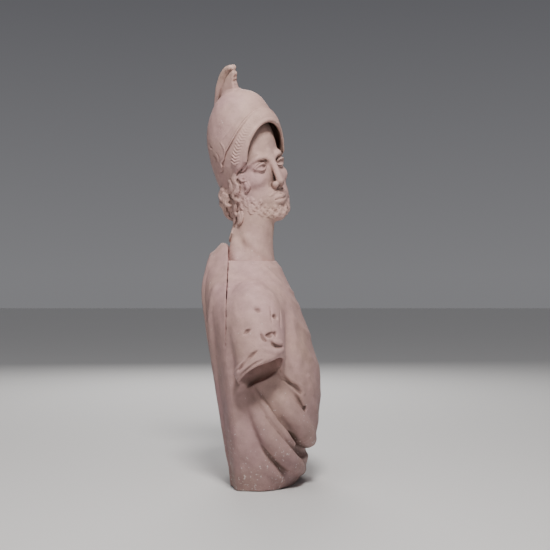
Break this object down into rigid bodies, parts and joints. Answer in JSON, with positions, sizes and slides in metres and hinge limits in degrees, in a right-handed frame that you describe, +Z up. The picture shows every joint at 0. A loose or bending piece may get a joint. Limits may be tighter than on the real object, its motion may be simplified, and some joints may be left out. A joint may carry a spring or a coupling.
{
  "type": "marble bust",
  "caption": "Free-standing marble bust of a helmeted, bearded figure with turned head, draped chest and cut arms, built from dowelled blocks.",
  "frame": {"origin": "centre of the whole bust's bounding box at the level of the flat foot it stands on", "axes": "+Z up; the figure's chest faces -Y; its right side, the one the picture shows, is -X"},
  "size_m": [0.4387, 0.2402, 0.83],
  "materials": {
    "torso_marble": "matte",
    "mantle_marble": "matte",
    "head_marble": "matte",
    "mortar": "matte",
    "dowel_steel": "satin"
  },
  "bodies": {
    "root": {"torso_block": "torso_marble", "mantle_slab": "mantle_marble", "helmeted_head": "head_marble", "neck_mortar_bed": "mortar", "mantle_mortar_bed": "mortar", "neck_dowel": "dowel_steel", "mantle_dowel_upper_right": "dowel_steel", "mantle_dowel_upper_left": "dowel_steel", "mantle_dowel_lower_right": "dowel_steel", "mantle_dowel_lower_left": "dowel_steel"}
  },
  "joints": []
}
